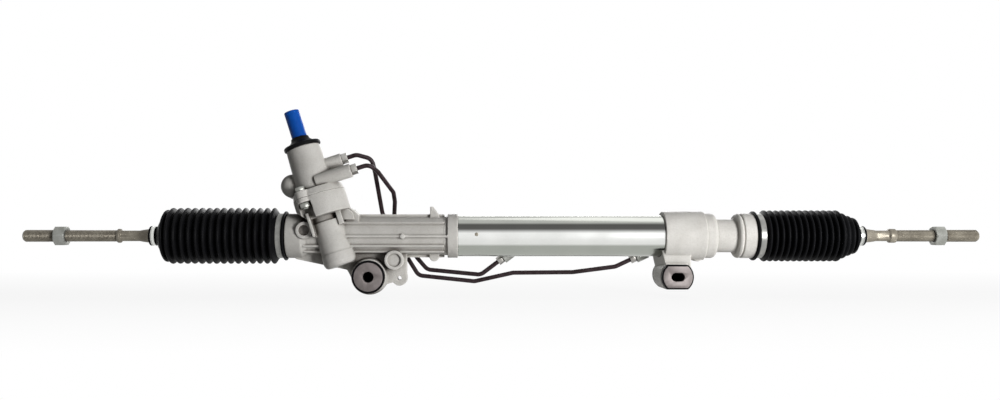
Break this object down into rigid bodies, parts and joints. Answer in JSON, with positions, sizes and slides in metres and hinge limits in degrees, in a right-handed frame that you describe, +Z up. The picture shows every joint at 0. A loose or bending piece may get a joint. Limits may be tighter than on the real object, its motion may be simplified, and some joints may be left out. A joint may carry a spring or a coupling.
{
  "type": "hydraulic rack and pinion steering gear",
  "caption": "Hydraulic rack and pinion steering gear with a leaning valve tower, cylinder tube, rubber bushes, bellows and tie rods.",
  "frame": {"origin": "middle of the left mounting bush bore", "axes": "+X along the rack to the right end, +Z up, -Y to the valve side and the mount faces"},
  "size_m": [1.257, 0.1046, 0.2432],
  "materials": {
    "cast_aluminium": "sand cast, light warm grey",
    "tube_steel": "ground and plated",
    "steel": "machined",
    "zinc": "zinc plated",
    "dark_pipe": "black brown coated",
    "black_rubber": "moulded",
    "blue_plastic": "moulded",
    "white_plastic": "moulded",
    "bush_metal": "phosphated",
    "bronze": "sintered"
  },
  "bodies": {
    "housing": {"rack_housing": "cast_aluminium", "pinion_lower_bearing": "steel", "pinion_end_plug": "zinc", "upper_bearing_outer_ring": "steel", "upper_bearing_balls": "steel", "pinion_oil_seal": "black_rubber", "valve_housing": "cast_aluminium", "valve_housing_o_ring": "black_rubber", "valve_housing_bolts": "zinc", "valve_housing_nuts": "zinc", "input_needle_bearing": "steel", "input_oil_seal": "black_rubber", "input_snap_ring": "steel", "rack_guide": "white_plastic", "guide_spring": "steel", "guide_plug": "zinc", "guide_lock_nut": "zinc", "cylinder_tube": "tube_steel", "tube_port_bosses": "zinc", "end_housing": "cast_aluminium", "inner_rack_seal": "black_rubber", "outer_rack_seal": "black_rubber", "rack_bush": "bronze", "right_chamber_pipe": "dark_pipe", "left_chamber_pipe": "dark_pipe", "pipe_nuts": "zinc", "left_bush_shell": "steel", "left_bush_rubber": "black_rubber", "left_bush_sleeve": "bush_metal", "right_bush_shell": "steel", "right_bush_rubber": "black_rubber", "right_bush_sleeve": "bush_metal", "left_bellows": "black_rubber", "right_bellows": "black_rubber", "bellows_clamps": "tube_steel"},
    "rack": {"rack_bar": "steel", "piston": "steel", "piston_ring": "white_plastic", "left_lock_washer": "steel", "right_lock_washer": "steel", "left_ball_socket": "steel", "right_ball_socket": "steel"},
    "pinion": {"pinion": "steel", "pinion_nut": "steel", "upper_bearing_inner_ring": "steel", "valve_sleeve": "bronze", "valve_sleeve_rings": "white_plastic"},
    "input_shaft": {"input_shaft": "steel", "torsion_bar": "steel", "torsion_bar_pin": "steel", "dust_cover": "black_rubber"},
    "shaft_cap": {"shaft_cap": "blue_plastic"},
    "left_seat": {"left_ball_seat": "white_plastic"},
    "left_rod": {"left_tie_rod": "zinc", "left_jam_nut": "zinc", "left_bellows_clip": "tube_steel"},
    "right_seat": {"right_ball_seat": "white_plastic"},
    "right_rod": {"right_tie_rod": "zinc", "right_jam_nut": "zinc", "right_bellows_clip": "tube_steel"}
  },
  "joints": [
    {"name": "rack_travel", "type": "slide", "parent": "housing", "child": "rack", "axis": [1, 0, 0], "range_m": [-0.0565, 0.0895], "deforming": ["left_bellows", "right_bellows"]},
    {"name": "pinion_turn", "type": "hinge", "parent": "housing", "child": "pinion", "pos_m": [-0.0505, -0.016, 0.05362], "axis": [-0.309, 0.0663, 0.9487], "range_deg": [-680, 430]},
    {"name": "valve_twist", "type": "hinge", "parent": "pinion", "child": "input_shaft", "pos_m": [-0.07522, -0.01069, 0.12952], "axis": [-0.309, 0.0663, 0.9487], "range_deg": [-4, 4], "stiffness_Nm_per_rad": 100},
    {"name": "cap_pull", "type": "slide", "parent": "input_shaft", "child": "shaft_cap", "axis": [-0.309, 0.0663, 0.9487], "range_m": [0, 0.045]},
    {"name": "left_ball_turn", "type": "hinge", "parent": "rack", "child": "left_seat", "pos_m": [-0.233, 0, 0.0525], "axis": [0, 0, 1], "range_deg": [-16, 16], "deforming": ["left_bellows"]},
    {"name": "left_ball_swing", "type": "hinge", "parent": "left_seat", "child": "left_rod", "pos_m": [-0.233, 0, 0.0525], "axis": [0, 1, 0], "range_deg": [-16, 16], "deforming": ["left_bellows"]},
    {"name": "right_ball_turn", "type": "hinge", "parent": "rack", "child": "right_seat", "pos_m": [0.5935, 0, 0.0525], "axis": [0, 0, 1], "range_deg": [-16, 16], "deforming": ["right_bellows"]},
    {"name": "right_ball_swing", "type": "hinge", "parent": "right_seat", "child": "right_rod", "pos_m": [0.5935, 0, 0.0525], "axis": [0, 1, 0], "range_deg": [-16, 16], "deforming": ["right_bellows"]}
  ],
  "couplings": [
    {"joint": "pinion_turn", "follows": "rack_travel", "rad_per_m": -132.09}
  ]
}
